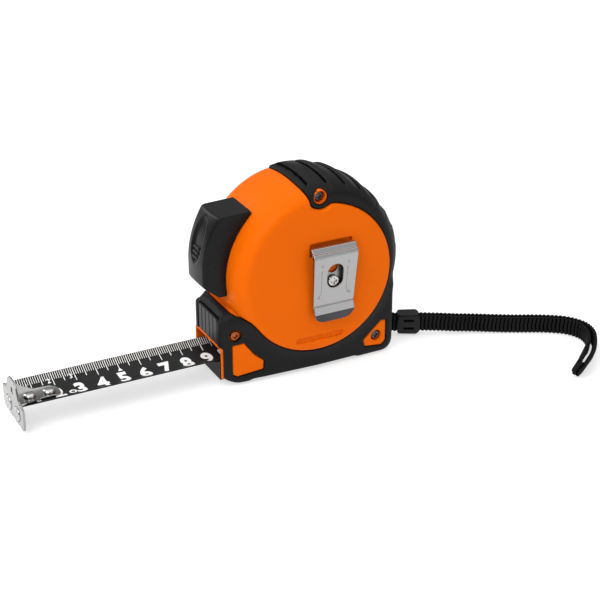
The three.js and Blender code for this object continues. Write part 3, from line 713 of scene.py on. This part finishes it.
for i in (1, 2):
    low, high = box_mm(f"hook_magnet_{i}")
    centre = (low + high) / 2
    radius = (high[1] - low[1]) / 2
    disc = [(radius - 0.5, high[0]), (radius, high[0] - 0.2), (radius, low[0] + 0.4),
            (radius - 0.12, low[0] + 0.14), (radius - 0.4, low[0]), (radius - 1.0, low[0]),
            (radius - 1.1, low[0] + 0.12), (0.05, low[0] + 0.12)]
    magnet = lathe(f"hook_magnet_disc_{i}", disc, (0, centre[1], centre[2]), (1, 0, 0))
    finish_piece(magnet, "hook", MAGNET, "magnet", f"hook_magnet_{i}")
    low, high = box_mm(f"hook_rivet_{i}")
    tail = [(0.05, low[2]), (1.2, low[2] + 0.05), (2.0, low[2] + 0.35), (2.15, BLADE_FLOOR - 0.35),
            (1.3, BLADE_FLOOR - 0.3)]
    head = [(1.3, 1.6), (2.7, 1.6), (2.75, 1.8), (2.6, 2.2), (2.2, 2.55), (1.5, 2.8), (0.7, 2.9),
            (0.05, 2.92)]
    dome = tail + [(r, BLADE_FLOOR + z) for r, z in head]
    rivet = lathe(f"hook_rivet_head_{i}", dome, ((low[0] + high[0]) / 2, 0, 0), (0, 0, 1))
    finish_piece(rivet, "blade", NICKEL, "nickel", f"hook_rivet_{i}")


def panel_field(x, y, z):
    """The nose panel: a dark plate whose front is fluted from top to bottom."""
    pitch = 4.0
    flute = np.abs((y + 10) / pitch - np.round((y + 10) / pitch)) * pitch
    sink = 0.28 * (1 - ramp(flute, 0.12, 0.4))
    plate = smax(slab(y, -9.75, 9.75), slab(z, PANEL[0] + 0.15, PANEL[1] - 0.1), 0.8)
    return smax(smax(plate, x - NOSE_X - 1.25, 0.2), NOSE_X + 0.25 + sink - x, 0.4)


from_field("nose_plate", panel_field, frame_box("nose_panel"), 0.25 * COARSE, "case", PANEL_GREY,
           "black_plastic", "nose_panel")


# ---------------------------------------------------------------- the blade and its print

ROOT_CLIMB = 6                # how far the root has risen where it meets the coil


def on_blade(x, s, lift, climb=None):
    """A point of the hollow blade: s is the arc length from its centre line, lift is above it.

    With climb, the blade rises between those two places.
    """
    radius = BLADE_R - BLADE_T
    angle = np.asarray(s) / radius
    reach = radius - lift
    z = BLADE_FLOOR + BLADE_R - reach * np.cos(angle)
    if climb is not None:
        z = z + ROOT_CLIMB * np.maximum(0, (x - climb[0]) / (climb[1] - climb[0])) ** 2
    return np.stack(np.broadcast_arrays(x, reach * np.sin(angle), z), axis=-1)


HALF_ARC = (BLADE_R - BLADE_T) * math.asin(BLADE_W / 2 / BLADE_R)
FONT_TWO = 0.56               # width of a 2 in the built-in font at size 1


def blade_sheet(x0, x1, steps, climb=None, end_cut=0.0):
    """Points and faces of the bare blade between two places, with rounded edges."""
    arcs = np.linspace(-HALF_ARC, HALF_ARC, 41)
    top = [(s, 0.0) for s in arcs]
    right = [(HALF_ARC + 0.1, -BLADE_T / 2)]
    bottom = [(s, -BLADE_T) for s in arcs[::-1]]
    left = [(-HALF_ARC - 0.1, -BLADE_T / 2)]
    loop = np.array(top + right + bottom + left)
    rows = []
    for x in np.linspace(x0, x1, steps):
        back = end_cut * max(0.0, 1 - (x - x0) / 3.0)
        narrow = np.clip(np.abs(loop[:, 0]), 0, HALF_ARC - back) * np.sign(loop[:, 0])
        rows.append(on_blade(x, narrow, loop[:, 1], climb))
    count = len(loop)
    faces = []
    for j in range(len(rows) - 1):
        for i in range(count):
            k = (i + 1) % count
            faces.append([j * count + i, (j + 1) * count + i, (j + 1) * count + k, j * count + k])
    faces.append([len(rows) * count + i for i in range(count)])
    return np.concatenate(rows + rows[:1]), faces


def numeral(text, height, width, weight, left, right):
    """A flat heavy figure as triangles (x right, y up), centred, of a given size for a 2.

    What lies outside left and right is cut away.
    """
    curve = bpy.data.curves.new("figure", "FONT")
    curve.body = text
    curve.size = 1
    curve.offset = weight
    curve.space_character = 1.05
    curve.resolution_u = 6
    shape = bpy.data.objects.new("figure", curve)
    bpy.context.scene.collection.objects.link(shape)
    bpy.context.view_layer.update()
    mesh = bpy.data.meshes.new_from_object(shape.evaluated_get(
        bpy.context.evaluated_depsgraph_get()))
    bpy.data.objects.remove(shape)
    figure = bmesh.new()
    figure.from_mesh(mesh)
    bpy.data.meshes.remove(mesh)
    xs = [v.co.x for v in figure.verts]
    ys = [v.co.y for v in figure.verts]
    middle = ((min(xs) + max(xs)) / 2, (min(ys) + max(ys)) / 2)
    tall = height / (max(ys) - min(ys))
    wide = width / FONT_TWO
    for v in figure.verts:
        v.co = Vector(((v.co.x - middle[0]) * wide, (v.co.y - middle[1]) * tall, 0))
    cuts = [((0, float(y), 0), (0, 1, 0), False) for y in np.arange(-height / 2, height / 2, 0.6)]
    cuts += [((left, 0, 0), (-1, 0, 0), True), ((right, 0, 0), (1, 0, 0), True)]
    for at, facing, drop in cuts:
        geometry = figure.verts[:] + figure.edges[:] + figure.faces[:]
        bmesh.ops.bisect_plane(figure, geom=geometry, plane_co=at, plane_no=facing, dist=1e-5,
                               clear_outer=drop)
    figure.verts.index_update()
    points = np.array([v.co[:2] for v in figure.verts])
    faces = [[v.index for v in f.verts] for f in figure.faces]
    figure.free()
    return points, faces


INK_LIFT = 0.03
# Height, width of a 2, place from its centimetre mark in (x, s), and weight.
LARGE_FIGURE = (9.8, 5.6, (-0.6, -1.5), 0.042)
SMALL_FIGURE = (2.6, 1.8, (-1.9, 8.1), 0.02)


def graduation(x0, x1, zero):
    """All the print between two places: (x, s) points and faces, in the blade's own flat plane."""
    points, faces = [], []

    def add(at, corners):
        start = sum(len(p) for p in points)
        points.append(np.asarray(at, float))
        faces.extend([[i + start for i in face] for face in corners])

    for n in range(math.ceil(x0 - zero), math.ceil(x1 - zero)):
        x = zero + n
        foot_s = 5.1 if n % 10 == 0 else 6.5 if n % 5 == 0 else 8.5
        half = 0.17 if n % 5 == 0 else 0.13
        marks = np.linspace(foot_s, HALF_ARC - 0.1, 6)
        strip = [(x + e * half, s) for s in marks for e in (-1, 1)]
        add(strip, [[2 * i, 2 * i + 1, 2 * i + 3, 2 * i + 2] for i in range(5)])
    for n in range(1, 14):
        for height, width, at, weight in [LARGE_FIGURE] + [SMALL_FIGURE] * (n < 4):
            middle = zero + 10 * n + at[0]
            if x0 - width < middle < x1 + width:
                shape, corners = numeral(str(n), height, width * (0.8 if n > 9 else 1), weight,
                                         x0 - middle, x1 - middle)
                if corners:
                    add(shape + np.array([middle, at[1]]), corners)
        if n == 5 and x0 < zero + 50 < x1:
            x = zero + 50
            add([(x, 6.4), (x - 1.1, 4.4), (x + 1.1, 4.4)], [[0, 1, 2]])
    if x0 < zero + 25.4 < x1:
        ring = [(zero + 25.4 + a * math.cos(t), -3.2 + 1.15 * a * math.sin(t))
                for t in np.linspace(0, 2 * math.pi, 25)[:-1] for a in (0.9, 1.7)]
        add(ring, [[2 * i, 2 * i + 1, (2 * i + 3) % 48, (2 * i + 2) % 48] for i in range(24)])
    return np.concatenate(points), faces


def blade_piece(name, x0, x1, zero, climb=None, end_cut=0.0):
    """A stretch of blade with its print, which lies just above the metal."""
    metal, metal_faces = blade_sheet(x0, x1, 60, climb, end_cut)
    flat, marks = graduation(x0, x1, zero)
    printed = on_blade(flat[:, 0], flat[:, 1], INK_LIFT, climb)
    start = len(metal)
    faces = metal_faces + [[i + start for i in face] for face in marks]
    piece = make_object(name, np.concatenate([metal, printed]), faces)
    piece.data.materials.append(BLADE_BLACK)
    piece.data.materials.append(PRINT)
    inks = np.zeros(len(faces), np.int32)
    inks[len(metal_faces):] = 1
    piece.data.polygons.foreach_set("material_index", inks)
    return piece


ZERO = HOOK_X + 0.6           # where the scale counts from
SPLIT = ROOT_LOW[0]           # where the sliding blade ends and its root begins
REACH = ROOT_HIGH[0]
outer = blade_piece("printed_blade", BLADE_LOW[0], SPLIT, ZERO, end_cut=2.0)
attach(outer, "blade")
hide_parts("blade")
root = blade_piece("printed_blade_root", SPLIT, REACH, ZERO, climb=(-26, REACH))
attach(root, "case")
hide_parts("blade_root")


# ---------------------------------------------------------------- the strap and its slider

STRAP_W = 8.0
STRAP_T = 1.6
STRAP_RISE = 1.9              # how much higher the strap lies at the case than on the ground
HEADING = np.array([0.898, -0.439])
SLIDER_LOW, SLIDER_HIGH = box_mm("strap_slider")
SLIDER_AT = ((SLIDER_LOW + SLIDER_HIGH) / 2)[:2]
STRAP_BENDS = [(84, -20.6), (101.5, -29.2), (114.5, -36.2), (121.6, -42), (124.9, -49),
               (123.8, -56.5), (118, -64.8), (110, -72), (101, -79)]
STRAP_STRAIGHT = (-19.6, -10, 0, 8, 16, 22)   # the route before the bends, from the slider
LEG, FOLD = 0.48, 0.04        # shares of the webbing: each leg, and the turn that joins them
RIB_PITCH = 1.9


def smooth_line(knots, per_span=60):
    """A centripetal spline through the knots, sampled evenly by length."""
    knots = [np.array(k, float) for k in knots]
    knots = [2 * knots[0] - knots[1]] + knots + [2 * knots[-1] - knots[-2]]
    line = []
    for a, b, c, d in zip(knots, knots[1:], knots[2:], knots[3:]):
        gaps = [math.sqrt(np.linalg.norm(q - p)) for p, q in ((a, b), (b, c), (c, d))]
        out = (b - a) / gaps[0] - (c - a) / (gaps[0] + gaps[1]) + (c - b) / gaps[1]
        into = (c - b) / gaps[1] - (d - b) / (gaps[1] + gaps[2]) + (d - c) / gaps[2]
        out, into = out * gaps[1], into * gaps[1]
        for t in np.linspace(0, 1, per_span, endpoint=False):
            line.append(b + out * t + (-3 * b + 3 * c - 2 * out - into) * t * t
                        + (2 * b - 2 * c + out + into) * t ** 3)
    line.append(knots[-2])
    line = np.array(line)
    along = np.concatenate([[0], np.cumsum(np.linalg.norm(np.diff(line, axis=0), axis=1))])
    return line, along


centre_line, centre_s = smooth_line(
    [SLIDER_AT + s * HEADING for s in STRAP_STRAIGHT] + STRAP_BENDS)
CENTRE_LENGTH = centre_s[-1]


def strap_station(u):
    """Where the webbing is at u, from 0 at its start to 1 at its end, and which way up it is."""
    fold = min(max((u - LEG) / FOLD, 0), 1)
    inner = 2.4 / CENTRE_LENGTH
    t = min(inner + (1 - inner) * min(u, 1 - u) / LEG, 1)
    at = t * CENTRE_LENGTH
    x, y = (np.interp(at, centre_s, centre_line[:, k]) for k in (0, 1))
    ahead, behind = min(at + 0.5, CENTRE_LENGTH), max(at - 0.5, 0)
    along = np.array([np.interp(ahead, centre_s, centre_line[:, k])
                      - np.interp(behind, centre_s, centre_line[:, k]) for k in (0, 1)] + [0])
    along /= np.linalg.norm(along)
    lean = math.radians(26) * ramp(t, 0.78, 0.97)
    level = np.array([-along[1], along[0], 0])
    up = level * math.sin(lean) + np.array([0, 0, math.cos(lean)])
    across = level * math.cos(lean) - np.array([0, 0, math.sin(lean)])
    spread = 1.65 - 0.21 * ramp(t, 0.05, 0.25) + 0.35 * math.exp(-((t - 0.9) / 0.03) ** 2)
    height = (STRAP_W / 2 * math.cos(lean) + (spread + STRAP_T / 2) * math.sin(lean) + 0.15
              + STRAP_RISE * (1 - ramp(t, 0.16, 0.5)))
    point = np.array([x, y, height]) + across * spread * math.cos(math.pi * fold)
    return point + along * spread * math.sin(math.pi * fold), up


def webbing():
    """The ribbed webbing, its length, points along its middle, and where it starts."""
    stations = np.linspace(0, 1, 6001)
    route = [strap_station(u) for u in stations]
    line = np.array([p for p, _ in route])
    ups = np.array([up for _, up in route])
    travel = np.concatenate([[0], np.cumsum(np.linalg.norm(np.diff(line, axis=0), axis=1))])
    length = travel[-1]
    marks = np.linspace(0, length, int(length / RIB_PITCH) * 8 + 1)
    path = np.stack([np.interp(marks, travel, line[:, k]) for k in range(3)], axis=1)
    up = np.stack([np.interp(marks, travel, ups[:, k]) for k in range(3)], axis=1)
    along = np.gradient(path, axis=0)
    along /= np.linalg.norm(along, axis=1)[:, None]
    up -= (up * along).sum(1)[:, None] * along
    up /= np.linalg.norm(up, axis=1)[:, None]
    side = np.cross(up, along)
    ring = [(v, 1) for v in np.linspace(-0.96, 0.96, 25)] + [(1, 0)]
    ring += [(v, -1) for v in np.linspace(0.96, -0.96, 25)] + [(-1, 0)]
    rows, ribs = [], []
    for s, at, u, n in zip(marks, path, up, side):
        for v, face in ring:
            phase = s / RIB_PITCH + 0.22 * abs(v) * (1 if face >= 0 else -1)
            rib = abs(math.sin(math.pi * phase)) ** 0.7
            ribs.append(rib)
            edge = 0.90 + 0.10 * rib
            weave = 0.5 * STRAP_T * (0.42 + 0.76 * rib - 0.16 * math.cos(9 * math.pi * v) * rib)
            weave *= 1 - 0.35 * abs(v) ** 6
            rows.append(at + u * v * edge * STRAP_W / 2 + n * face * weave)
    count = len(ring)
    faces = [[j * count + i, j * count + (i + 1) % count, (j + 1) * count + (i + 1) % count,
              (j + 1) * count + i] for j in range(len(marks) - 1) for i in range(count)]
    faces.append(list(range(count))[::-1])
    faces.append([(len(marks) - 1) * count + i for i in range(count)])
    piece = make_object("webbing_strap", np.array(rows), faces)
    # faces low between the ribs get the painted shade material
    low = [int(sum(ribs[i] for i in face) < 2.5) for face in faces[:-2]] + [0, 0]
    piece.data.polygons.foreach_set("material_index", low)
    return piece, length, path[::16], line[0]


def slider_field(x, y, z):
    """A black ladder lock that the doubled strap passes through, with two short slots."""
    half = np.interp(x, (-6, -5, 3.4, 5.6, 6), (4.2, 5.1, 5.3, 4.3, 2.6))
    body = smax(smax(slab(x, -5.8, 5.6), (np.abs(z) - half) * 0.9, 1.8), np.abs(y) - 3.5, 1.3)
    tunnel = smax(np.abs(y) - 2.75, np.abs(z) - 4.45, 0.5)
    slots = smax(np.abs(np.abs(z) - 2) - 0.5, np.abs(x) - 2.4, 0.4)
    slots = np.maximum(slots, y + 2.6)
    return smax(smax(body, -tunnel, 0.4), -slots, 0.3)


def to_slider(points):
    angle = math.atan2(HEADING[1], HEADING[0])
    turn = np.array([[math.cos(angle), -math.sin(angle), 0],
                     [math.sin(angle), math.cos(angle), 0], [0, 0, 1]])
    middle = (SLIDER_LOW + SLIDER_HIGH) / 2
    return points @ turn.T + middle


slider = surface("ladder_lock", slider_field, (-7, -4.7, -6.6), (7, 4.7, 6.6), 0.3, to_slider)
finish_piece(slider, "slider", SLIDER_BLACK, "black_plastic", "strap_slider")
strap, strap_length, strap_path, strap_start = webbing()
finish_piece(strap, "case", WEBBING, "webbing", "wrist_strap")
strap.data.materials.append(WEBBING_SHADE)
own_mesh(root)


# ---------------------------------------------------------------- studio

floor_mesh = bmesh.new()
bmesh.ops.create_grid(floor_mesh, x_segments=40, y_segments=40, size=3.0)
for vertex in floor_mesh.verts:
    vertex.co.z = -0.0002
floor_data = bpy.data.meshes.new("studio_floor")
floor_mesh.to_mesh(floor_data)
floor_mesh.free()
studio_floor = bpy.data.objects.new("studio_floor", floor_data)
bpy.context.scene.collection.objects.link(studio_floor)
studio_floor.data.materials.append(
    material("pale_floor", (0.5, 0.5, 0.5), 0.6, tone=0.01, scale=60, bump=0.02, specular=0.1,
             glow=0.62))


def area_light(name, at, aim, size, power):
    data = bpy.data.lights.new(name, "AREA")
    data.shape = "RECTANGLE"
    data.size, data.size_y = size
    data.energy = power
    lamp = bpy.data.objects.new(name, data)
    lamp.location = at
    lamp.rotation_euler = (Vector(aim) - Vector(at)).to_track_quat("-Z", "Y").to_euler()
    bpy.context.scene.collection.objects.link(lamp)


area_light("key", (-0.85, -0.35, 0.95), (-0.02, 0, 0.04), (0.8, 0.8), 9)
area_light("fill", (0.55, -1.1, 0.4), (0, 0, 0.04), (0.6, 0.9), 1.6)
area_light("overhead", (0, 0.1, 1.3), (0, 0, 0), (1.8, 1.8), 9)
area_light("rim", (-0.5, 0.9, 0.5), (0, 0, 0.06), (0.4, 0.6), 2.5)

world = bpy.data.worlds.new("studio")
bpy.context.scene.world = world
world.use_nodes = True
sky = world.node_tree
direction = sky.nodes.new("ShaderNodeTexCoord")
split = sky.nodes.new("ShaderNodeSeparateXYZ")
height_ramp = sky.nodes.new("ShaderNodeValToRGB")
height_ramp.color_ramp.elements[0].position = 0.02
height_ramp.color_ramp.elements[0].color = (0.22, 0.22, 0.23, 1)
height_ramp.color_ramp.elements[1].position = 0.75
height_ramp.color_ramp.elements[1].color = (1, 1, 1, 1)
sky.links.new(direction.outputs["Generated"], split.inputs["Vector"])
sky.links.new(split.outputs["Z"], height_ramp.inputs["Fac"])
sky.links.new(height_ramp.outputs["Color"], sky.nodes["Background"].inputs["Color"])
sky.nodes["Background"].inputs["Strength"].default_value = 0.62
bpy.context.scene.view_settings.view_transform = "Standard"

CAMERA_AT = (-0.2821, -0.5480, 0.3272)
CAMERA_ELEVATION = 26
CAMERA_AZIMUTH = -27.27
camera_data = bpy.data.cameras.new("product_camera")
camera_data.lens = 90
camera_data.sensor_width = 36
camera = bpy.data.objects.new("product_camera", camera_data)
camera.location = CAMERA_AT
camera.rotation_euler = (math.radians(90 - CAMERA_ELEVATION), 0, math.radians(CAMERA_AZIMUTH))
bpy.context.scene.collection.objects.link(camera)
bpy.context.scene.camera = camera
